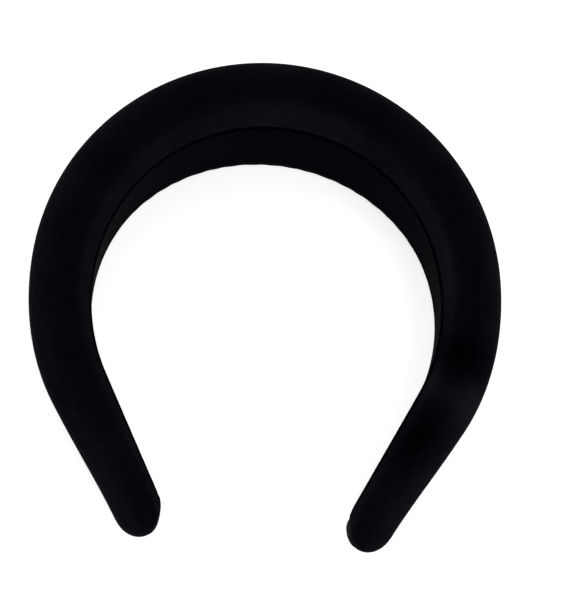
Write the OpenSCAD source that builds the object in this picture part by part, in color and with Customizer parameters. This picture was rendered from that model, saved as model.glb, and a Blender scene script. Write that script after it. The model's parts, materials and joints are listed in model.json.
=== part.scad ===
// Padded velvet headband, lying on the back edge of its padding.
// A flat springy hoop carries a fat D-shaped foam pad in a velvet sleeve, with a cloth lining inside.
//
// Frame: X runs left to right, +Y points at the crown, +Z points from the back edge to the front edge.
// The origin is at the middle of the bounding box, on the surface that the band lies on. Millimetres.
// A place on the band is given by s, the length along the lining from the crown, u, the height above
// the lining's inner face, and v, the distance from the arch's middle plane.

/* [Arch] */
// Inside radius of the crown arc
crown_r = 62.5; // [50:0.1:80]
// Angle from the crown where the side arc starts
crown_angle = 65; // [45:1:85]
// Inside radius of the side arc
side_r = 68; // [50:0.5:90]
// Angle from the crown where the straight leg starts
leg_angle = 116.5; // [95:0.5:130]
// Length along the lining from the crown to a tip
half_length = 190.5; // [160:0.5:220]

/* [Padding] */
// Depth of the padding at the crown, front to back
crown_w = 42.5; // [25:0.5:60]
// Thickness of the padding at the crown, from the lining outwards
crown_t = 30; // [15:0.5:40]
// Depth of the padding at a tip
tip_w = 17.5; // [10:0.5:30]
// Thickness of the padding at a tip
tip_t = 16.5; // [8:0.5:25]
// How fast the depth falls away from the crown
w_fall = 1.6; // [0.8:0.1:3]
// Extra thickness of the padding half way down each leg
leg_fill = 1.8; // [0:0.1:4]
// Length along the lining from the crown where the extra thickness starts
fill_start = 90; // [60:1:120]
// Share of the thickness at which the padding is deepest
belly = 0.47; // [0.3:0.01:0.7]
// Squareness of the outer curve at the crown, where 2 is an ellipse
squareness = 2.5; // [2:0.1:4]
// Squareness of the outer curve at a tip
tip_squareness = 2.1; // [2:0.1:4]
// Share of the depth that the flat inner face takes
flat_share = 0.8; // [0.6:0.01:0.95]
// Length of the rounded end of each tip
tip_round = 8.8; // [5:0.5:12]

/* [Layers] */
// Thickness of the cloth lining
lining_t = 0.8; // [0.4:0.1:1.5]
// Thickness of the velvet, with its pile
cover_t = 1.0; // [0.6:0.1:2]
// Thickness of the plastic hoop
hoop_t = 1.6; // [1:0.1:3]
// Thickness of an adhesive film
film_t = 0.2; // [0.1:0.05:0.5]
// Air left between two layers
play = 0.06; // [0.04:0.01:0.1]

/* [Hoop] */
// Width of the hoop at the crown
hoop_crown_w = 26; // [10:0.5:34]
// Width of the hoop at its ends
hoop_tip_w = 9; // [6:0.5:12]
// How far the hoop and the lining stop short of the padded tip
end_short = 9; // [8.5:0.5:20]

/* [Stitches] */
// Length of one stitch
stitch_l = 3; // [2:0.5:5]
// Distance from one stitch to the next
stitch_pitch = 7; // [5:0.5:12]
// Radius of the sewing thread
thread_r = 0.3; // [0.2:0.05:0.4]

/* [Flex] */
// Gap between the two halves, where the arch bends at the crown
crown_gap = 0.3; // [0.2:0.05:0.6]

/* [Hidden] */
$fn = 16;
bays = 30;        // stretches of each half between the crown and the rounded tip
tip_rings = 5;    // rings round each tip's dome
arc_steps = 16;   // steps over the outer curve of a section
edge_steps = 4;   // steps round each inner edge of a section

velvet = [0.05, 0.055, 0.08];
cloth = [0.04, 0.045, 0.06];
foam = [0.62, 0.62, 0.58];
plastic = [0.10, 0.10, 0.11];
film = [0.80, 0.78, 0.66];
thread = [0.03, 0.03, 0.05];

// ---- the arch's line ----
crown_arc = crown_r * crown_angle * PI / 180;
side_arc = side_r * (leg_angle - crown_angle) * PI / 180;
side_centre = (crown_r - side_r) * [sin(crown_angle), cos(crown_angle)];
leg_start = side_centre + side_r * [sin(leg_angle), cos(leg_angle)];

// direction away from the head at s, as an angle from the crown
function lean(s) = s < crown_arc ? s / crown_r * 180 / PI
    : s < crown_arc + side_arc ? crown_angle + (s - crown_arc) / side_r * 180 / PI : leg_angle;
function out_dir(s) = [sin(lean(s)), cos(lean(s))];
function line_at(s) = s < crown_arc ? crown_r * out_dir(s)
    : s < crown_arc + side_arc ? side_centre + side_r * out_dir(s)
    : leg_start + (s - crown_arc - side_arc) * [cos(leg_angle), -sin(leg_angle)];

// ---- how thick and how deep the band is at s ----
function swell(s) = (1 + cos(180 * min(s / half_length, 1))) / 2;
function leg_bulge(s) = pow(sin(180 * min(max((s - fill_start) / (half_length - fill_start), 0), 1)), 2);
function thick(s) = tip_t + (crown_t - tip_t) * swell(s) + leg_fill * leg_bulge(s);
function deep(s) = tip_w + (crown_w - tip_w) * pow(swell(s), w_fall);
function hoop_half(s) = (hoop_tip_w + (hoop_crown_w - hoop_tip_w) * pow(swell(s), w_fall)) / 2;
function square(s) = tip_squareness + (squareness - tip_squareness) * swell(s);
function lining_half(s) = flat_share * deep(s) / 2 * 0.96;

// ---- heights of the layers above the lining's inner face ----
glue_u = lining_t + play;
cover_u = glue_u + film_t + play;
inside_u = cover_u + cover_t;
hoop_u = inside_u + play;
tape_u = hoop_u + hoop_t + play;
foam_u = tape_u + film_t + play;

// ---- the rest on the table: the crown's back edge and both tips touch it ----
dome_s = half_length - tip_round;
crown_low = crown_r + belly * crown_t;
tip_low = line_at(dome_s).y + belly * tip_t * out_dir(dome_s).y;
tilt = atan((deep(0) - deep(dome_s)) / 2 / (crown_low - tip_low));

function raw(s, u, v) = let (p = line_at(s) + u * out_dir(s))
    [p.x, p.y * cos(tilt) - v * sin(tilt), p.y * sin(tilt) + v * cos(tilt)];

// ---- a section: [u, v] points round the D, drawn between u0 and u1 and cut off below cut ----
function section(u0, u1, half, cut, power) = let (
    wide = u0 + belly * (u1 - u0), last = asin(min((wide - cut) / (wide - u0), 1)))
    concat(
        [for (i = [0 : arc_steps]) let (a = 180 * i / arc_steps)
            [wide + pow(abs(sin(a)), 2 / power) * (u1 - wide),
             sign(cos(a)) * pow(abs(cos(a)), 2 / power) * half]],
        [for (i = [1 : edge_steps]) let (a = last * i / edge_steps)
            [wide - sin(a) * (wide - u0), -half * (flat_share + (1 - flat_share) * cos(a))]],
        [for (i = [edge_steps : -1 : 1]) let (a = last * i / edge_steps)
            [wide - sin(a) * (wide - u0), half * (flat_share + (1 - flat_share) * cos(a))]]);
ring_n = arc_steps + 1 + 2 * edge_steps;

// stations along one half: even to the start of the dome, then closing in on the tip
function bay_s(i) = crown_gap / 2 + (dome_s - crown_gap / 2) * i / bays;
// a padded body set in by d all round: rings of points from the crown to the tip, then the tip's point
function pad_rings(u0, d, cut) = concat(
    [for (i = [0 : bays]) let (s = bay_s(i))
        [for (q = section(u0, thick(s) - d, deep(s) / 2 - d, cut, square(s))) raw(s, q.x, q.y)]],
    [for (j = [1 : tip_rings - 1]) let (a = 90 * j / tip_rings, s = dome_s + (tip_round - d) * sin(a),
        top = thick(s) - d, mid = (cover_u + thick(s)) / 2)
        [for (q = section(u0, top, deep(s) / 2 - d, cut, square(s)))
            raw(s, mid + (q.x - mid) * cos(a), q.y * cos(a))]]);
function pad_end(d) = let (s = half_length - d) raw(s, (cover_u + thick(s)) / 2, 0);

outer_rings = pad_rings(cover_u, 0, cover_u);
outer_end = pad_end(0);
all_outer = [for (r = outer_rings) each r];
lift = -min([for (p = all_outer) p.z]);
far_y = max([for (p = all_outer) p.y]);
near_y = min(outer_end.y, min([for (p = all_outer) p.y]));
shift = -(far_y + near_y) / 2;

function settle(p) = [p.x, p.y + shift, p.z + lift];
function at(s, u, v) = settle(raw(s, u, v));

// the bending line of the crown: where it stands, and the way it points
hinge_at = at(0, thick(0), 0);
hinge_axis = [0, -sin(tilt), cos(tilt)];
echo(tilt = tilt, hinge_at = hinge_at, hinge_axis = hinge_axis, lift = lift, shift = shift);
echo(crown_inner = at(0, 0, 0), tip = settle(outer_end), side_inner = at(crown_arc + 25 * side_r * PI / 180, 0, 0));

// ---- meshes ----
// side walls between rings of n points, from ring a to ring b; flip turns them inside out
function walls(n, a, b, first, flip) = [for (i = [a : b - 1], j = [0 : n - 1]) let (
    p = first + i * n + j, q = first + i * n + (j + 1) % n)
    each flip ? [[p, p + n, q], [q, p + n, q + n]] : [[p, q, p + n], [q, q + n, p + n]]];
function fan(n, first, tip, flip) = [for (j = [0 : n - 1]) let (p = first + j, q = first + (j + 1) % n)
    flip ? [p, tip, q] : [p, q, tip]];

// a closed body: rings, a fan to the tip, and a fan over the crown's cut face
module solid_pad(rings, end, start) {
    n = ring_n;
    m = len(rings);
    polyhedron(
        [for (p = concat([for (r = rings) each r], [end, start])) settle(p)],
        concat(walls(n, 0, m - 1, 0, false), fan(n, (m - 1) * n, m * n, false),
            fan(n, 0, m * n + 1, true)));
}

// a closed sleeve: an outer skin, an inner skin, and a rim between them at the crown
module sleeve(outside, outside_end, inside, inside_end) {
    n = ring_n;
    m = len(outside);
    k = m * n + 1;
    polyhedron(
        [for (p = concat([for (r = outside) each r], [outside_end], [for (r = inside) each r],
            [inside_end])) settle(p)],
        concat(walls(n, 0, m - 1, 0, false), fan(n, (m - 1) * n, m * n, false),
            walls(n, 0, m - 1, k, true), fan(n, k + (m - 1) * n, k + m * n, true),
            [for (j = [0 : n - 1]) let (q = (j + 1) % n) each [[j, k + j, q], [q, k + j, k + q]]]));
}

// a flat strip along the arch from u0 to u1, with a rounded end; half is its half width at each station
end_s = half_length - end_short;
strip_s = concat([for (i = [0 : bays - 1]) if (bay_s(i) < end_s - 7) bay_s(i)],
    [for (j = [0 : 5]) end_s - 5 + 5 * sin(18 * j)]);
function round_end(s) = s < end_s - 5 ? 1 : sqrt(max(1 - pow((s - end_s + 5) / 5, 2), 0.04));
module strip(u0, u1, halves) {
    m = len(strip_s);
    pts = [for (i = [0 : m - 1]) let (s = strip_s[i], h = halves[i] * round_end(s))
        each [at(s, u1, h), at(s, u1, -h), at(s, u0, -h), at(s, u0, h)]];
    polyhedron(pts, concat(walls(4, 0, m - 1, 0, false), [[0, 3, 2], [0, 2, 1]],
        [[4 * m - 4, 4 * m - 3, 4 * m - 2], [4 * m - 4, 4 * m - 2, 4 * m - 1]]));
}

// a straight round bar from p to q
module bar(p, q, r) {
    d = q - p;
    translate(p) rotate([0, acos(d.z / norm(d)), atan2(d.y, d.x)]) cylinder(h = norm(d), r = r);
}

// ---- one half of each piece, on the right; the left one is its mirror image ----
module velvet_cover() {
    sleeve(outer_rings, outer_end, pad_rings(inside_u, cover_t, inside_u), pad_end(cover_t));
}
module foam_pad() {
    d = cover_t + 3 * play;
    rings = pad_rings(inside_u + 3 * play, d, foam_u);
    s = bay_s(0);
    solid_pad(rings, pad_end(d), raw(s, thick(s) / 2, 0));
}
module foam_film() strip(tape_u, tape_u + film_t, [for (s = strip_s) hoop_half(s) - 1]);
module hoop() strip(hoop_u, hoop_u + hoop_t, [for (s = strip_s) hoop_half(s)]);
module lining_film() strip(glue_u, glue_u + film_t, [for (s = strip_s) lining_half(s) - 2.5]);
module lining() strip(0, lining_t, [for (s = strip_s) lining_half(s)]);
// stitches lie in the groove between the lining's edge and the velvet; edge is 1 in front, -1 behind
module stitches(edge) {
    for (s = [stitch_pitch / 2 : stitch_pitch : end_s - 8])
        bar(groove(s - stitch_l / 2, edge), groove(s + stitch_l / 2, edge), thread_r);
}
function groove(s, edge) = at(s, 0.55, edge * (lining_half(s) + thread_r + 0.12));

module left() mirror([1, 0, 0]) children();

module velvet_cover_left() color(velvet) left() velvet_cover();
module velvet_cover_right() color(velvet) velvet_cover();
module foam_pad_left() color(foam) left() foam_pad();
module foam_pad_right() color(foam) foam_pad();
module foam_film_left() color(film) left() foam_film();
module foam_film_right() color(film) foam_film();
module hoop_left() color(plastic) left() hoop();
module hoop_right() color(plastic) hoop();
module lining_film_left() color(film) left() lining_film();
module lining_film_right() color(film) lining_film();
module lining_left() color(cloth) left() lining();
module lining_right() color(cloth) lining();
module front_stitches_left() color(thread) left() stitches(1);
module front_stitches_right() color(thread) stitches(1);
module back_stitches_left() color(thread) left() stitches(-1);
module back_stitches_right() color(thread) stitches(-1);

velvet_cover_left();
velvet_cover_right();
foam_pad_left();
foam_pad_right();
foam_film_left();
foam_film_right();
hoop_left();
hoop_right();
lining_film_left();
lining_film_right();
lining_left();
lining_right();
front_stitches_left();
front_stitches_right();
back_stitches_left();
back_stitches_right();
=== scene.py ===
# Padded velvet headband lying on the back edge of its padding.
# A place on the band is s, the length along the lining from the crown (minus on the left), u, the height
# above the lining's inner face, and v, the distance from the arch's middle plane. Sizes are in metres.

import json
import math

import bpy
import numpy as np
from mathutils import Matrix, Vector


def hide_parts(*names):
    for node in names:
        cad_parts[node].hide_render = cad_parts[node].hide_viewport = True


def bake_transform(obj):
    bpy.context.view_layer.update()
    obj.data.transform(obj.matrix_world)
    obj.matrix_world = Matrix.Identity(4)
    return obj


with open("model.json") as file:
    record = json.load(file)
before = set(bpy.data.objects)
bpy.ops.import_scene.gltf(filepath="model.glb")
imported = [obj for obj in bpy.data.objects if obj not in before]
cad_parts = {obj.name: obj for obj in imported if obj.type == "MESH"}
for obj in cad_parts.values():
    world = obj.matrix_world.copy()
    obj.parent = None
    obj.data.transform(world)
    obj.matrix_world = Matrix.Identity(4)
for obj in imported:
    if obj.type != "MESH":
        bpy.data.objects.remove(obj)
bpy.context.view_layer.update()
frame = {"record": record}

# ---- the arch, shared by every piece ----
arch = {
    "crownRadius": 0.0625,
    "crownAngle": 65.0,
    "sideRadius": 0.068,
    "legAngle": 116.5,
    "halfLength": 0.1905,
    "crownDepth": 0.0425,
    "crownThick": 0.030,
    "tipDepth": 0.0175,
    "tipThick": 0.0165,
    "depthFall": 1.6,
    "legFill": 0.0018,  # extra thickness half way down each leg, from fillStart on
    "fillStart": 0.090,
    "belly": 0.47,
    "crownSquare": 2.5,
    "tipSquare": 2.1,
    "flatShare": 0.80,  # the flat inner face takes this share of the depth
    "liningShare": 0.96,  # and the lining takes this share of the flat
    "tipRound": 0.0088,
    "endShort": 0.009,  # the lining and hoop stop this far from each end of the cover
    "endRound": 0.005,
    "stitchPitch": 0.007,
    "bendReach": 0.028,  # the bend at the crown is spread this far to each side
}

hinge = frame["record"]["behaviour"]["joints"][0]
hingeAt = np.array(hinge["pos_m"])
leanCos, leanSin = hinge["axis"][2], -hinge["axis"][1]  # the arch's middle plane leans this much


def archLine(s):
    # the lining's line in the arch's own plane: a crown arc, then a side arc that meets it with no kink,
    # then a straight leg; gives the points and the directions away from the head
    crownEnd = math.radians(arch["crownAngle"])
    legEnd = math.radians(arch["legAngle"])
    r0, r1 = arch["crownRadius"], arch["sideRadius"]
    length0, length1 = r0 * crownEnd, r1 * (legEnd - crownEnd)
    a = np.abs(s)
    turn = np.where(a < length0, a / r0, np.minimum(crownEnd + (a - length0) / r1, legEnd))
    out = np.stack([np.sin(turn), np.cos(turn)], -1)
    centre = (r0 - r1) * np.array([math.sin(crownEnd), math.cos(crownEnd)])
    legStart = centre + r1 * np.array([math.sin(legEnd), math.cos(legEnd)])
    along = np.array([math.cos(legEnd), -math.sin(legEnd)])
    past = (a - length0 - length1)[..., None]
    point = np.where((a < length0)[..., None], r0 * out,
                     np.where(past < 0, centre + r1 * out, legStart + past * along))
    side = np.stack([np.where(s < 0, -1.0, 1.0), np.ones_like(a)], -1)
    return point * side, out * side


def onBand(s, u, v):
    # point in the row frame of the place (s, u, v): the line's point plus u times the outward direction,
    # with v across, then leaned about X and set down so that the bend at the crown is the frame's hinge
    s, u, v = np.broadcast_arrays(s, u, v)
    point, out = archLine(s)
    flat = point + u[..., None] * out
    top = arch["crownRadius"] + arch["crownThick"]
    y = (flat[..., 1] - top) * leanCos - v * leanSin + hingeAt[1]
    z = (flat[..., 1] - top) * leanSin + v * leanCos + hingeAt[2]
    return np.stack([flat[..., 0], y, z], -1)


def swell(s):
    # 1 at the crown falling to 0 at a tip, as half a cosine wave
    return (1 + np.cos(math.pi * np.minimum(np.abs(s) / arch["halfLength"], 1))) / 2


def thickAt(s):
    # falls with the swell, with a bulge down each leg shaped as a squared sine
    leg = np.clip((np.abs(s) - arch["fillStart"]) / (arch["halfLength"] - arch["fillStart"]), 0, 1)
    taper = (arch["crownThick"] - arch["tipThick"]) * swell(s)
    return arch["tipThick"] + taper + arch["legFill"] * np.sin(math.pi * leg) ** 2


def deepAt(s):
    return arch["tipDepth"] + (arch["crownDepth"] - arch["tipDepth"]) * swell(s) ** arch["depthFall"]


def squareAt(s):
    return arch["tipSquare"] + (arch["crownSquare"] - arch["tipSquare"]) * swell(s)


def liningHalf(s):
    return arch["flatShare"] * deepAt(s) / 2 * arch["liningShare"]


def pastLining(s, v):
    # how far a place is past the lining's outline, minus inside it: the outline is a strip with its corners
    # rounded, so this is the signed distance from its inner rectangle less the corner's radius
    corner = arch["endRound"]
    along = np.abs(s) - (arch["halfLength"] - arch["endShort"] - corner)
    across = np.abs(v) - (liningHalf(s) - corner)
    outside = np.hypot(np.maximum(along, 0), np.maximum(across, 0))
    inside = np.minimum(np.maximum(along, across), 0)
    return outside + inside - corner


def stitchWave(s, drift=0.0):
    # 1 at each stitch and -1 half way between two, as a cosine whose phase drift shifts
    pitch = arch["stitchPitch"]
    return np.cos(2 * math.pi * (np.abs(s) - pitch / 2) / pitch + drift)


# ---- layers, as heights above the lining's inner face ----
layers = {
    "lining": (0.0, 0.0008),
    "liningFilm": (0.00086, 0.00106),
    "cover": (0.00112, 0.00212),  # the velvet's inner wall
    "hoop": (0.00218, 0.00378),
    "foamFilm": (0.00384, 0.00404),
    "foam": 0.0041,
}
play = 0.00006  # air left between two layers


def padSection(s, t, low, inset, cut):
    # one point of the D section for each s and each t in 0..1 round it, as u and v.
    # t 0..0.6 is the outer curve, a superellipse from the front edge over the top to the back edge;
    # 0.6..0.75 is a quarter ellipse in to the flat inner face; 0.75..0.85 crosses the flat; the rest
    # comes back to the front edge as the same quarter ellipse
    thick, half, power = thickAt(s) - inset, deepAt(s) / 2 - inset, 2 / squareAt(s)
    wide = low + arch["belly"] * (thick - low)
    over = np.pi * np.clip(t / 0.6, 0, 1)
    uOver = wide + np.abs(np.sin(over)) ** power * (thick - wide)
    vOver = np.sign(np.cos(over)) * np.abs(np.cos(over)) ** power * half
    last = np.arcsin(np.clip((wide - cut) / (wide - low), 0, 1))
    down = last * np.clip((t - 0.6) / 0.15, 0, 1)
    up = last * np.clip((1.0 - t) / 0.15, 0, 1)
    bend = np.where(t < 0.8, down, up)
    side = np.where(t < 0.8, -1.0, 1.0)
    flat = arch["flatShare"]
    uUnder = wide - np.sin(bend) * (wide - low)
    vUnder = side * half * (flat + (1 - flat) * np.cos(bend))
    across = np.clip((t - 0.75) / 0.10, 0, 1)
    edge = half * (flat + (1 - flat) * np.cos(last))
    vUnder = np.where((t > 0.75) & (t < 0.85), edge * (2 * across - 1), vUnder)
    isOver = t <= 0.6
    return np.where(isOver, uOver, uUnder), np.where(isOver, vOver, vUnder)


def padSurface(steps, tipSteps, around, low, inset, cut):
    # the skin of a padded body: sections along the arch, closing over each tip as a dome whose size falls
    # as the cosine while the place along the band runs on as the sine; gives s of each section, and u and v
    domeStart = arch["halfLength"] - arch["tipRound"]
    body = np.linspace(-domeStart, domeStart, steps)
    angle = np.linspace(0, math.pi / 2, tipSteps + 1)[1:]
    angle[-1] -= 0.04  # the last ring stays open, for the fan that closes the tip
    domeS = domeStart + (arch["tipRound"] - inset) * np.sin(angle)
    s = np.concatenate([-domeS[::-1], body, domeS])
    shrink = np.concatenate([np.cos(angle)[::-1], np.ones(steps), np.cos(angle)])
    u, v = padSection(s[:, None], around[None, :], low, inset, cut)
    middle = ((layers["cover"][0] + thickAt(s)) / 2)[:, None]
    u = middle + (u - middle) * shrink[:, None]
    v = v * shrink[:, None]
    return s, u, v


def tubeFaces(rows, cols, first, flip):
    # four-sided faces between rings, and a fan over each end to its own end point; flip turns them all round
    i, j = np.meshgrid(np.arange(rows - 1), np.arange(cols), indexing="ij")
    a = first + i * cols + j
    b = first + i * cols + (j + 1) % cols
    quads = np.stack([a, b, b + cols, a + cols], -1).reshape(-1, 4)
    ring = np.arange(cols)
    near, far = first + rows * cols, first + rows * cols + 1
    lastRow = first + (rows - 1) * cols
    caps = np.concatenate([
        np.stack([first + (ring + 1) % cols, first + ring, np.full(cols, near)], -1),
        np.stack([lastRow + ring, lastRow + (ring + 1) % cols, np.full(cols, far)], -1)])
    if flip:
        quads, caps = quads[:, ::-1], caps[:, ::-1]
    return quads.tolist() + caps.tolist()


def closedTube(points):
    # rings of points plus the middle of the first and the last ring, as one list for tubeFaces
    ends = np.stack([points[0].mean(0), points[-1].mean(0)])
    return np.concatenate([points.reshape(-1, 3), ends])


def meshPiece(name, points, faces, material):
    mesh = bpy.data.meshes.new(name)
    mesh.from_pydata(np.asarray(points).tolist(), [], faces)
    mesh.update()
    mesh.polygons.foreach_set("use_smooth", np.ones(len(mesh.polygons), bool))
    piece = bpy.data.objects.new(name, mesh)
    bpy.context.scene.collection.objects.link(piece)
    mesh.materials.append(material)
    return piece


def giveUv(piece, along, across):
    # a UV map in metres: u runs along the band and v round or across it, one value per point
    layer = piece.data.uv_layers.new(name="cloth")
    corner = np.zeros(len(piece.data.loops), np.int32)
    piece.data.loops.foreach_get("vertex_index", corner)
    layer.data.foreach_set("uv", np.stack([along[corner], across[corner]], -1).astype(np.float32).ravel())


def bendAtCrown(piece, *nodes):
    # one real piece that the frame splits in two: it follows the left half, then turns smoothly to the right
    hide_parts(*nodes)
    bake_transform(piece)


# ---- materials ----
def startMaterial(name):
    material = bpy.data.materials.new(name)
    material.use_nodes = True
    nodes, links = material.node_tree.nodes, material.node_tree.links
    return material, nodes, links, nodes["Principled BSDF"]


def noiseNode(nodes, links, place, scale, detail, roughness):
    noise = nodes.new("ShaderNodeTexNoise")
    noise.inputs["Scale"].default_value = scale
    noise.inputs["Detail"].default_value = detail
    noise.inputs["Roughness"].default_value = roughness
    links.new(place, noise.inputs["Vector"])
    return noise.outputs["Fac"]


def rampNode(nodes, links, value, stops):
    # stops are pairs of a position and a colour, from the lowest up
    ramp = nodes.new("ShaderNodeValToRGB")
    for element, (position, colour) in zip(ramp.color_ramp.elements, (stops[0], stops[-1])):
        element.position = position
        element.color = (*colour, 1)
    for position, colour in stops[1:-1]:
        ramp.color_ramp.elements.new(position).color = (*colour, 1)
    links.new(value, ramp.inputs["Fac"])
    return ramp.outputs["Color"]


def bumpNode(nodes, links, height, strength, distance, before=None):
    bump = nodes.new("ShaderNodeBump")
    bump.inputs["Strength"].default_value = strength
    bump.inputs["Distance"].default_value = distance
    links.new(height, bump.inputs["Height"])
    if before is not None:
        links.new(before, bump.inputs["Normal"])
    return bump.outputs["Normal"]


velvetLook = {
    # shades of the pile from crushed flat up to the painted light and sheen along its sides, as pairs of a
    # tone and a colour
    "shades": [
        (0.10, (0.0002, 0.0002, 0.0006)),
        (0.28, (0.0008, 0.0009, 0.0023)),
        (0.60, (0.0021, 0.0023, 0.0042)),
        (1.0, (0.0060, 0.0064, 0.0080)),
    ],
    "roughness": 0.88,
    "specular": 0.006,
    "sheen": 0.012,
    "sheenTint": (0.70, 0.75, 0.90),
    "sheenSpread": 0.35,
    "napScale": 38.0,  # patches where the pile lies another way
    "mottleScale": 420.0,  # small dents in the pile
    "pileScale": 2100.0,  # single tufts of pile
    "napShare": 0.5,
    "mottleShare": 0.35,
    "pileShare": 0.5,
    "toneDrop": 0.27,  # taken off again, because the noises are all above nought
    "tuftBump": (0.35, 0.00025),  # strength and height
    "napBump": (0.12, 0.0012),
}


def velvetMaterial(look):
    material, nodes, links, shader = startMaterial("velvet")
    place = nodes.new("ShaderNodeTexCoord").outputs["Object"]
    nap = noiseNode(nodes, links, place, look["napScale"], 2.0, 0.45)
    pile = noiseNode(nodes, links, place, look["pileScale"], 2.0, 0.6)
    mottle = noiseNode(nodes, links, place, look["mottleScale"], 3.0, 0.6)
    # the tone is the attribute, which holds the painted light and sheen and how the pile lies at the marks,
    # plus a share of each noise, each of which is one half on average
    layAndPaintedLight = nodes.new("ShaderNodeAttribute")
    layAndPaintedLight.attribute_name = "pileLayAndPaintedLight"
    tone = layAndPaintedLight.outputs["Fac"]
    for part, share in ((nap, "napShare"), (mottle, "mottleShare"), (pile, "pileShare")):
        mix = nodes.new("ShaderNodeMath")
        mix.operation = "MULTIPLY_ADD"
        mix.inputs[1].default_value = look[share]
        links.new(part, mix.inputs[0])
        links.new(tone, mix.inputs[2])
        tone = mix.outputs[0]
    evened = nodes.new("ShaderNodeMath")
    evened.operation = "SUBTRACT"
    evened.inputs[1].default_value = look["toneDrop"]
    links.new(tone, evened.inputs[0])
    links.new(rampNode(nodes, links, evened.outputs[0], look["shades"]), shader.inputs["Base Color"])
    shader.inputs["Roughness"].default_value = look["roughness"]
    shader.inputs["Specular IOR Level"].default_value = look["specular"]
    shader.inputs["Sheen Weight"].default_value = look["sheen"]
    shader.inputs["Sheen Roughness"].default_value = look["sheenSpread"]
    shader.inputs["Sheen Tint"].default_value = (*look["sheenTint"], 1)
    tufts = bumpNode(nodes, links, pile, *look["tuftBump"])
    links.new(bumpNode(nodes, links, nap, *look["napBump"], tufts), shader.inputs["Normal"])
    return material


liningLook = {
    "thread": (0.0002, 0.0005, 0.0027),
    "gap": (0.0001, 0.0002, 0.0010),
    "threadPitch": 0.00042,  # from one thread of the weave to the next
    "slubScale": 420.0,  # thick and thin places in the threads
    "roughness": 0.72,
    "specular": 0.004,
    "weaveBump": (0.5, 0.00012),
    "slubBump": (0.2, 0.0003),
}


def liningMaterial(look):
    # plain weave: two sets of threads at right angles, each rising where the other dips
    material, nodes, links, shader = startMaterial("lining_cloth")
    uv = nodes.new("ShaderNodeUVMap")
    uv.uv_map = "cloth"
    turns = math.pi / look["threadPitch"]
    split = nodes.new("ShaderNodeSeparateXYZ")
    links.new(uv.outputs["UV"], split.inputs[0])
    waves = []
    for axis in ("X", "Y"):
        scaled = nodes.new("ShaderNodeMath")
        scaled.operation = "MULTIPLY"
        scaled.inputs[1].default_value = turns
        links.new(split.outputs[axis], scaled.inputs[0])
        wave = nodes.new("ShaderNodeMath")
        wave.operation = "SINE"
        links.new(scaled.outputs[0], wave.inputs[0])
        waves.append(wave.outputs[0])
    cross = nodes.new("ShaderNodeMath")
    cross.operation = "MULTIPLY"
    links.new(waves[0], cross.inputs[0])
    links.new(waves[1], cross.inputs[1])
    height = nodes.new("ShaderNodeMath")
    height.operation = "MULTIPLY_ADD"
    height.inputs[1].default_value = 0.5
    height.inputs[2].default_value = 0.5
    links.new(cross.outputs[0], height.inputs[0])
    place = nodes.new("ShaderNodeTexCoord").outputs["Object"]
    slub = noiseNode(nodes, links, place, look["slubScale"], 3.0, 0.6)
    mixed = nodes.new("ShaderNodeMath")
    mixed.operation = "MULTIPLY"
    links.new(height.outputs[0], mixed.inputs[0])
    links.new(slub, mixed.inputs[1])
    colour = rampNode(nodes, links, mixed.outputs[0], [(0.05, look["gap"]), (0.55, look["thread"])])
    links.new(colour, shader.inputs["Base Color"])
    shader.inputs["Roughness"].default_value = look["roughness"]
    shader.inputs["Specular IOR Level"].default_value = look["specular"]
    weave = bumpNode(nodes, links, height.outputs[0], *look["weaveBump"])
    links.new(bumpNode(nodes, links, slub, *look["slubBump"], weave), shader.inputs["Normal"])
    return material


def plainMaterial(name, dark, light, scale, roughness, specular, bump):
    # a colour that drifts between two shades over a noise, with a little relief of the same noise
    material, nodes, links, shader = startMaterial(name)
    place = nodes.new("ShaderNodeTexCoord").outputs["Object"]
    noise = noiseNode(nodes, links, place, scale, 4.0, 0.6)
    links.new(rampNode(nodes, links, noise, [(0.3, dark), (0.7, light)]), shader.inputs["Base Color"])
    shader.inputs["Roughness"].default_value = roughness
    shader.inputs["Specular IOR Level"].default_value = specular
    links.new(bumpNode(nodes, links, noise, *bump), shader.inputs["Normal"])
    return material


plainLooks = {
    "foam": {"dark": (0.50, 0.50, 0.45), "light": (0.68, 0.68, 0.62), "scale": 900.0,
             "roughness": 0.95, "specular": 0.1, "bump": (0.8, 0.0005)},
    "hoop_plastic": {"dark": (0.016, 0.016, 0.018), "light": (0.028, 0.028, 0.032), "scale": 160.0,
                     "roughness": 0.42, "specular": 0.4, "bump": (0.1, 0.0001)},
    "film": {"dark": (0.60, 0.56, 0.44), "light": (0.78, 0.74, 0.60), "scale": 300.0,
             "roughness": 0.5, "specular": 0.3, "bump": (0.15, 0.0001)},
    "thread": {"dark": (0.0006, 0.0007, 0.0014), "light": (0.0020, 0.0022, 0.0034), "scale": 5000.0,
               "roughness": 0.7, "specular": 0.015, "bump": (0.6, 0.0001)},
}

velvet = velvetMaterial(velvetLook)
liningCloth = liningMaterial(liningLook)
foamStuff, hoopPlastic, filmStuff, threadStuff = (
    plainMaterial(name, **look) for name, look in plainLooks.items())
print("materials ready")

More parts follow.
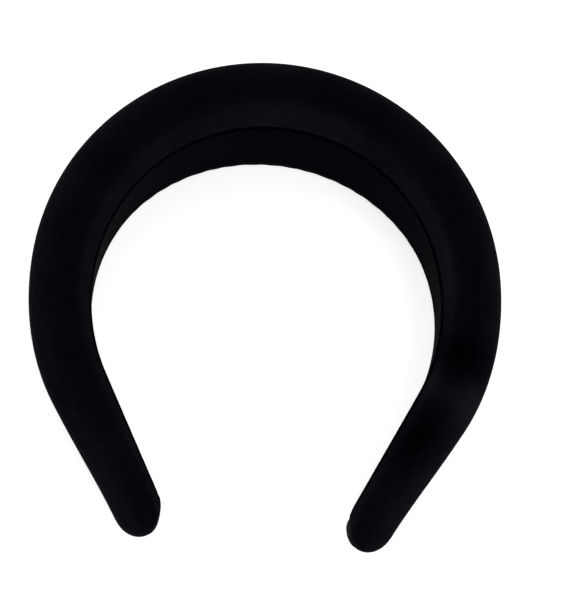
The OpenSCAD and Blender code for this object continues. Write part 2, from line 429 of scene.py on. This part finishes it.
# ---- the velvet cover: a sleeve over the foam, puffed out by it and drawn in along the lining ----
cover = {
    "steps": 270,
    "tipSteps": 7,
    "wallSteps": 90,  # the inner wall of the sleeve is hidden and coarser
    "wallTipSteps": 5,
    "wallRound": 32,
    "wallInset": 0.001,
    "startInset": 0.0006,  # the skin starts this much smaller and is blown out
    "insetReach": 0.006,  # it starts at full size on the flat, and this far above it is drawn in all the way
    "holdRise": 0.0006,  # held by the hoop and the stitches: what lies this near the flat
    "holdPast": 0.0012,  # and no further than this past the lining's edge
    "pressure": 40.0,
    "clothMass": 0.01,
    "stretchStiffness": 8,
    "shearStiffness": 4,
    "bendStiffness": 0.4,
    "frames": 16,
    "leastShare": 0.8,  # the foam holds the skin out by at least this share of startInset
    "mostMove": 0.0011,
    "grooveDepth": 0.0002,
    "groovePlace": 0.0004,
    "grooveWidth": 0.0009,
    "lipHeight": 0.0017,  # how far the velvet rolls towards the head beside the groove
    "lipPlace": 0.0027,
    "lipWidth": 0.0020,
    "lipFade": (0.004, 0.010, 0.4),  # at the tips: the end of the fade, its length, and the least share kept
    "innerShare": 0.45,  # groove, lip and puckers die out at this share of the thickness
    "pucker": 0.00010,
    "puckerStart": -0.0005,  # puckers begin this far past the lining's edge, so just under it
    "puckerPlace": 0.002,
    "puckerReach": 0.005,
    "puckerDrift": (0.6, 310),  # size and pace of the drift that keeps them a little uneven
    "paintedLightShare": (0.26, 0.37),  # painted light on the rolled inner edge up to this share, at the tips and the crown
    "paintedLightEdge": 0.10,
    "paintedLight": 0.36,
    "paintedSheenShare": 0.50,  # and a painted sheen over the top from this share on
    "paintedSheenEdge": 0.30,
    "paintedSheen": 0.28,
    # marks that lighten or darken the pile: place along the band, share of the thickness, the reach of
    # each, and the shade added. The three from 0.115 to 0.147 are pile brushed another way, the one at 0.086
    # is painted light on the inner band down the right side, and the rest lighten the left leg, the right tip
    # and a spot left of the crown
    "brushAndLightMarks": [
        (0.115, 0.5, 0.007, 0.8, -0.36),
        (0.1275, 0.5, 0.006, 0.9, 0.36),
        (0.147, 0.45, 0.010, 0.30, -0.32),
        # painted light: the lit inner band reaching further down the right side
        (0.086, 0.26, 0.022, 0.12, 0.22),
        (0.176, 0.4, 0.016, 0.5, 0.22),
        (-0.167, 0.4, 0.036, 0.5, 0.20),
        (-0.047, 0.65, 0.020, 0.2, 0.06),
    ],
}


def coverRound():
    # places round the section, close together where the groove and the rolled lip are
    return np.concatenate([
        np.linspace(0, 0.6, 29)[:-1], np.linspace(0.6, 0.70, 6)[:-1], np.linspace(0.70, 0.765, 9)[:-1],
        np.linspace(0.765, 0.835, 6)[:-1], np.linspace(0.835, 0.90, 9)[:-1], np.linspace(0.90, 1.0, 6)[:-1]])


def puffOut(points, faces, hold, least):
    # blow the skin up as cloth with its held points kept, and give back each point moved along its own normal
    # by as much as the cloth did, but no less than least, where the foam holds it, nor more than mostMove
    trial = meshPiece("coverTrial", points, faces, velvet)
    group = trial.vertex_groups.new(name="held")
    group.add(np.nonzero(hold)[0].tolist(), 1.0, "REPLACE")
    cloth = trial.modifiers.new("puff", "CLOTH")
    cloth.settings.vertex_group_mass = "held"
    cloth.settings.quality = 5
    cloth.settings.mass = cover["clothMass"]
    cloth.settings.tension_stiffness = cover["stretchStiffness"]
    cloth.settings.compression_stiffness = cover["stretchStiffness"]
    cloth.settings.shear_stiffness = cover["shearStiffness"]
    cloth.settings.bending_stiffness = cover["bendStiffness"]
    cloth.settings.use_pressure = True
    cloth.settings.uniform_pressure_force = cover["pressure"]
    cloth.settings.effector_weights.gravity = 0
    cloth.collision_settings.use_self_collision = False
    cloth.collision_settings.use_collision = False
    for number in range(1, cover["frames"] + 1):
        bpy.context.scene.frame_set(number)
    shaped = trial.evaluated_get(bpy.context.evaluated_depsgraph_get())
    ends, normals = np.zeros(len(points) * 3), np.zeros(len(points) * 3)
    shaped.data.vertices.foreach_get("co", ends)
    trial.data.vertices.foreach_get("normal", normals)
    bpy.context.scene.frame_set(1)
    bpy.data.objects.remove(trial)
    normals = normals.reshape(-1, 3)
    swelled = ((ends.reshape(-1, 3) - points) * normals).sum(-1)
    print("cover puffed: mean %.2f mm, from %.2f to %.2f mm"
          % tuple(1000 * x for x in (swelled.mean(), swelled.min(), swelled.max())))
    return points + normals * np.clip(swelled, least, cover["mostMove"])[:, None]


def outwardAt(s):
    # the outward direction at s, leaned with the arch
    _, out = archLine(s)
    return np.stack([out[..., 0], out[..., 1] * leanCos, out[..., 1] * leanSin], -1)


def edgeRelief(s, u, v, low):
    # how far the finished skin moves outwards near the lining: a bell curve outwards for the groove and one
    # towards the head for the rolled lip, over the distance past the lining's edge, and the small puckers
    # that the stitches gather it in, which fade away from the edge
    edge = pastLining(s, v)
    inner = np.clip(1 - (u - low) / (cover["innerShare"] * thickAt(s) - low), 0, 1)
    groove = cover["grooveDepth"] * np.exp(-((edge - cover["groovePlace"]) / cover["grooveWidth"]) ** 2)
    lip = -cover["lipHeight"] * np.exp(-((edge - cover["lipPlace"]) / cover["lipWidth"]) ** 2) * (edge > 0)
    fadeEnd, fadeLength, fadeLeast = cover["lipFade"]
    lip = lip * np.clip((arch["halfLength"] - fadeEnd - np.abs(s)) / fadeLength, fadeLeast, 1)
    drift, pace = cover["puckerDrift"]
    wave = stitchWave(s, drift * np.sin(s * pace) * np.sign(v))
    drawn = cover["pucker"] * wave * np.exp(-np.abs(edge - cover["puckerPlace"]) / cover["puckerReach"])
    drawn = drawn * (edge > cover["puckerStart"])
    # groove and lip keep their whole height over the first three fifths of the way
    return (groove + lip) * np.minimum(1, inner * 2.5) + drawn * inner ** 0.5


def pileLayAndPaintedLight(s, share):
    # a tone for the pile: painted light on the rolled inner edge, a painted sheen over the top, and a
    # bell curve for each mark, brushed pile or painted light as listed with the marks
    paintedLightEnd = cover["paintedLightShare"][0] + (cover["paintedLightShare"][1] - cover["paintedLightShare"][0]) * swell(s)
    layAndPaintedLight = (np.clip((paintedLightEnd - share) / cover["paintedLightEdge"], 0, 1) * cover["paintedLight"]
           + np.clip((share - cover["paintedSheenShare"]) / cover["paintedSheenEdge"], 0, 1) * cover["paintedSheen"])
    for place, at, reach, shareReach, shade in cover["brushAndLightMarks"]:
        layAndPaintedLight = layAndPaintedLight + shade * np.exp(-((s - place) / reach) ** 2 - ((share - at) / shareReach) ** 2)
    return layAndPaintedLight


def makeCover():
    low = layers["cover"][0]
    s, u, v = padSurface(cover["steps"], cover["tipSteps"], coverRound(), low, 0.0, low)
    rows, cols = u.shape
    sGrid = np.repeat(s[:, None], cols, 1)
    # the start shape is drawn in everywhere but on the inner face
    away = np.clip((u - low) / cover["insetReach"], 0, 1)
    middle = ((low + thickAt(s)) / 2)[:, None]
    size = 1 - away * cover["startInset"] * 2 / deepAt(s)[:, None]
    skin = closedTube(onBand(sGrid, middle + (u - middle) * size, v * size))
    faces = tubeFaces(rows, cols, 0, True)
    # the stitches hold it all along the groove, and the hoop holds the flat inner face
    hold = (u < low + cover["holdRise"]) & (pastLining(sGrid, v) < cover["holdPast"])
    hold = np.append(hold.ravel(), [False, False])
    least = np.append(away.ravel(), [1.0, 1.0]) * cover["startInset"] * cover["leastShare"]
    skin = puffOut(skin, faces, hold, least)
    grid = skin[:-2].reshape(rows, cols, 3)
    outer = closedTube(grid + outwardAt(sGrid) * edgeRelief(sGrid, u, v, low)[..., None])
    # the inner wall of the sleeve, facing the foam
    high = layers["cover"][1]
    wallRound = np.linspace(0, 1, cover["wallRound"] + 1)[:-1]
    wallS, wallU, wallV = padSurface(cover["wallSteps"], cover["wallTipSteps"], wallRound, high,
                                     cover["wallInset"], high)
    wall = closedTube(onBand(np.repeat(wallS[:, None], cover["wallRound"], 1), wallU, wallV))
    points = np.concatenate([outer, wall])
    faces = faces + tubeFaces(*wallU.shape, len(outer), False)
    piece = meshPiece("velvet_cover", points, faces, velvet)
    # the painted light, the painted sheen and the marks, as one value a point
    layAndPaintedLight = pileLayAndPaintedLight(sGrid, u / thickAt(sGrid)).ravel()
    layAndPaintedLight = np.append(layAndPaintedLight, np.zeros(len(points) - len(layAndPaintedLight)))
    piece.data.attributes.new("pileLayAndPaintedLight", "FLOAT", "POINT").data.foreach_set("value", layAndPaintedLight.astype(np.float32))
    smooth = piece.modifiers.new("smooth", "SUBSURF")
    smooth.levels = smooth.render_levels = 1
    bendAtCrown(piece, "velvet_cover_left", "velvet_cover_right")
    return piece


velvetCover = makeCover()
print("cover made:", len(velvetCover.data.vertices), "points")

# ---- the foam pad inside the cover ----
foam = {"steps": 110, "tipSteps": 6, "round": 40, "inset": 0.00106}


def makeFoam():
    # the same D as the cover, set in all round and cut off flat above the hoop
    around = np.linspace(0, 1, foam["round"] + 1)[:-1]
    s, u, v = padSurface(foam["steps"], foam["tipSteps"], around,
                         layers["cover"][1] + play, foam["inset"], layers["foam"])
    piece = meshPiece("foam_pad", closedTube(onBand(np.repeat(s[:, None], len(around), 1), u, v)),
                      tubeFaces(*u.shape, 0, True), foamStuff)
    bendAtCrown(piece, "foam_pad_left", "foam_pad_right")
    return piece


makeFoam()
print("foam pad made")

# ---- the flat strips: hoop, adhesive films and lining ----
strips = {
    "hoopCrown": 0.013,  # half widths
    "hoopTip": 0.0045,
    "foamFilmInset": 0.001,  # the films stop short of the edges of what they stick
    "liningFilmInset": 0.0025,
    "edgeSteps": 3,
    "lengthSteps": 120,
    "cornerSteps": 8,
    "liningAcrossSteps": 25,
    "liningLengthSteps": 300,
    "liningScallop": 0.00018,  # the stitches draw the lining's edge in by this much
    "scallopReach": 0.0015,
    "liningRib": 0.00012,  # the folded edge stands this much proud of the middle
    "ribPlace": 0.0018,  # in from the lining's edge
    "ribWidth": 0.0012,
    "hemFill": 0.00028,  # and this much thicker towards the velvet
    "hemPlace": 0.0010,
    "hemWidth": 0.0014,
}


def hoopHalf(s):
    return strips["hoopTip"] + (strips["hoopCrown"] - strips["hoopTip"]) * swell(s) ** arch["depthFall"]


def stripGrid(low, high, half, acrossSteps, edgeSteps, lengthSteps):
    # a strip of even thickness with half-round edges and rounded corners: its section is a slot shape, and
    # near each end three quarters of its half width fall as a quarter circle; gives s of each ring round the
    # strip, and u and v
    straight = arch["halfLength"] - arch["endShort"] - arch["endRound"]
    bend = np.linspace(0, math.pi / 2, strips["cornerSteps"] + 1)
    tail = straight + arch["endRound"] * np.sin(bend[:-1] + (bend[1] - bend[0]) * 0.75)
    s = np.concatenate([-tail[::-1], np.linspace(-straight, straight, lengthSteps), tail])
    past = np.clip((np.abs(s) - straight) / arch["endRound"], 0, 1)
    width = half(s) * (0.25 + 0.75 * np.sqrt(1 - past ** 2))
    radius = (high - low) / 2
    flat = np.linspace(-1, 1, acrossSteps)
    turn = np.linspace(-math.pi / 2, math.pi / 2, edgeSteps + 2)[1:-1]
    # underside from back to front, round the front edge, topside back again, round the back edge
    place = np.concatenate([flat, np.ones(edgeSteps), flat[::-1], -np.ones(edgeSteps)])
    out = np.concatenate([np.zeros(acrossSteps), np.cos(turn), np.zeros(acrossSteps), -np.cos(turn)])
    rise = np.concatenate([-np.ones(acrossSteps), np.sin(turn), np.ones(acrossSteps), -np.sin(turn)])
    inside = np.maximum(width - radius, 0.0002)
    v = place[None, :] * inside[:, None] + out[None, :] * radius
    u = (low + high) / 2 + rise[None, :] * radius + 0 * v
    return s, u, v


def makeStrip(name, layer, half, material, nodes, acrossSteps=5):
    low, high = layers[layer]
    s, u, v = stripGrid(low, high, half, acrossSteps, strips["edgeSteps"], strips["lengthSteps"])
    piece = meshPiece(name, closedTube(onBand(np.repeat(s[:, None], u.shape[1], 1), u, v)),
                      tubeFaces(*u.shape, 0, True), material)
    bendAtCrown(piece, *nodes)
    return piece


makeStrip("hoop", "hoop", hoopHalf, hoopPlastic, ("hoop_left", "hoop_right"), acrossSteps=7)
makeStrip("foam_film", "foamFilm", lambda s: hoopHalf(s) - strips["foamFilmInset"], filmStuff,
          ("foam_film_left", "foam_film_right"))
makeStrip("lining_film", "liningFilm", lambda s: liningHalf(s) - strips["liningFilmInset"], filmStuff,
          ("lining_film_left", "lining_film_right"))
print("hoop and films made")


def makeLining():
    # the strip, with its folded edges a little proud and drawn in at each stitch
    low, high = layers["lining"]
    s, u, v = stripGrid(low, high, liningHalf, strips["liningAcrossSteps"], strips["edgeSteps"],
                        strips["liningLengthSteps"])
    sGrid = np.repeat(s[:, None], u.shape[1], 1)
    edge = liningHalf(sGrid) - np.abs(v)
    fold = strips["liningRib"] * np.exp(-((edge - strips["ribPlace"]) / strips["ribWidth"]) ** 4)
    hem = strips["hemFill"] * np.exp(-((edge - strips["hemPlace"]) / strips["hemWidth"]) ** 4)
    u = np.where(u < (low + high) / 2, u - fold, u + hem)
    scallop = strips["liningScallop"] * (0.5 + 0.5 * stitchWave(sGrid))
    v = v - np.sign(v) * scallop * np.exp(-edge / strips["scallopReach"])
    points = closedTube(onBand(sGrid, u, v))
    piece = meshPiece("lining", points, tubeFaces(*u.shape, 0, True), liningCloth)
    ends = [s[0], s[-1]]
    giveUv(piece, np.append(sGrid.ravel(), ends), np.append(v.ravel(), [0.0, 0.0]))
    bendAtCrown(piece, "lining_left", "lining_right")
    return piece


makeLining()
print("lining made")

# ---- the slip stitches in the groove, one row in front and one behind ----
stitch = {
    "length": 0.0030,
    "slant": 0.0007,
    "thread": 0.00024,  # radius
    "taper": 0.92,
    "arch": 0.00018,  # how far its middle rises out of the groove
    "height": 0.00062,
    "pastEdge": 0.00042,  # from the lining's edge to the middle line
    "endGap": 0.008,  # no stitches this near the lining's end
}


def makeStitches(name, edge, nodes):
    # each stitch is a short thread from the lining's edge over the groove to the velvet: its middle line is a
    # shallow arch, and its radius shrinks to under a third at both ends; all stitches are worked out as one
    # array; edge is 1 in front and -1 behind
    last = arch["halfLength"] - arch["endShort"] - stitch["endGap"]
    pitch = arch["stitchPitch"]
    half = np.arange(pitch / 2, last, pitch)
    middles = np.concatenate([-half[::-1], half])
    along = np.linspace(-1, 1, 9)
    turn = np.linspace(0, 2 * math.pi, 9)[:-1]
    s = middles[:, None] + along[None, :] * stitch["length"] / 2
    u = stitch["height"] - stitch["arch"] * (1 - along[None, :] ** 2) + 0 * s
    v = liningHalf(s) + stitch["pastEdge"] + stitch["slant"] * along[None, :] / 2
    radius = stitch["thread"] * np.sqrt(1 - stitch["taper"] * along[None, :] ** 4) + 0 * s
    uRing = u[..., None] + radius[..., None] * np.cos(turn)
    vRing = edge * (v[..., None] + radius[..., None] * np.sin(turn))
    sRing = np.repeat(s[..., None], len(turn), 2)
    points = onBand(sRing, uRing, vRing)
    rows, cols = len(along), len(turn)
    each = rows * cols + 2
    ends = np.stack([points[:, 0].mean(1), points[:, -1].mean(1)], 1)
    closed = np.concatenate([points.reshape(len(middles), -1, 3), ends], 1)
    one = tubeFaces(rows, cols, 0, edge < 0)
    faces = [[corner + number * each for corner in face] for number in range(len(middles)) for face in one]
    piece = meshPiece(name, closed.reshape(-1, 3), faces, threadStuff)
    bendAtCrown(piece, *nodes)
    return piece


makeStitches("front_stitches", 1, ("front_stitches_left", "front_stitches_right"))
makeStitches("back_stitches", -1, ("back_stitches_left", "back_stitches_right"))
print("stitches made")

# ---- floor, light and camera ----
studio = {
    "floorTone": 0.85,
    "floorGlow": 0.62,  # the floor is a lit white table
    "zenith": 0.45,
    "horizon": 0.90,
    "lamps": {"key": (3.0, (0.50, -0.60, 0.60)), "fill": (1.5, (-0.6, 0.3, 0.6))},  # power and place
    "lampSize": 0.5,
}


def makeStudio():
    tone = studio["floorTone"]
    paper = plainMaterial("floorPaper", (tone,) * 3, (tone + 0.01,) * 3, 3.0, 0.9, 0.1, (0.0, 0.001))
    glow = paper.node_tree.nodes["Principled BSDF"].inputs
    glow["Emission Color"].default_value = (1, 1, 1, 1)
    glow["Emission Strength"].default_value = studio["floorGlow"]
    meshPiece("floor", [(-3, -3, 0), (3, -3, 0), (3, 3, 0), (-3, 3, 0)], [[0, 1, 2, 3]], paper)
    # the sky's light falls off from the horizon to the zenith
    world = bpy.data.worlds.new("softLight")
    bpy.context.scene.world = world
    world.use_nodes = True
    nodes, links = world.node_tree.nodes, world.node_tree.links
    split = nodes.new("ShaderNodeSeparateXYZ")
    links.new(nodes.new("ShaderNodeTexCoord").outputs["Generated"], split.inputs[0])
    shades = [(0.1, (studio["horizon"],) * 3), (0.95, (studio["zenith"],) * 3)]
    links.new(rampNode(nodes, links, split.outputs["Z"], shades), nodes["Background"].inputs["Color"])
    for name, (power, place) in studio["lamps"].items():
        lamp = bpy.data.lights.new(name, "AREA")
        lamp.energy, lamp.size = power, studio["lampSize"]
        holder = bpy.data.objects.new(name, lamp)
        holder.location = place
        holder.rotation_euler = (-Vector(place)).to_track_quat("-Z", "Y").to_euler()
        bpy.context.scene.collection.objects.link(holder)
    bpy.context.scene.view_settings.view_transform = "Standard"


view = {
    "azimuth": -7.87,
    "elevation": 64.65,
    "roll": 11.33,
    "distance": 0.952,
    "target": (0.00644, -0.00157, 0.020),
    "lens": 158.022,  # mm
    "sensor": 36,  # mm along the picture's longer side
}


def makeCamera():
    # back points from the target to the camera; level and up are its sides before it is rolled
    azimuth, elevation, roll = (math.radians(view[key]) for key in ("azimuth", "elevation", "roll"))
    level = Vector((math.cos(azimuth), math.sin(azimuth), 0))
    towards = Vector((-math.sin(azimuth), math.cos(azimuth), 0))
    back = Vector((0, 0, math.sin(elevation))) - math.cos(elevation) * towards
    up = back.cross(level)
    right = math.cos(roll) * level + math.sin(roll) * up
    camera = bpy.data.cameras.new("camera")
    camera.sensor_width = view["sensor"]
    camera.lens = view["lens"]
    holder = bpy.data.objects.new("camera", camera)
    turn = Matrix((right, back.cross(right), back)).transposed()
    holder.matrix_world = Matrix.Translation(Vector(view["target"]) + view["distance"] * back) @ turn.to_4x4()
    bpy.context.scene.collection.objects.link(holder)
    bpy.context.scene.camera = holder


makeStudio()
makeCamera()
print("studio and camera ready")
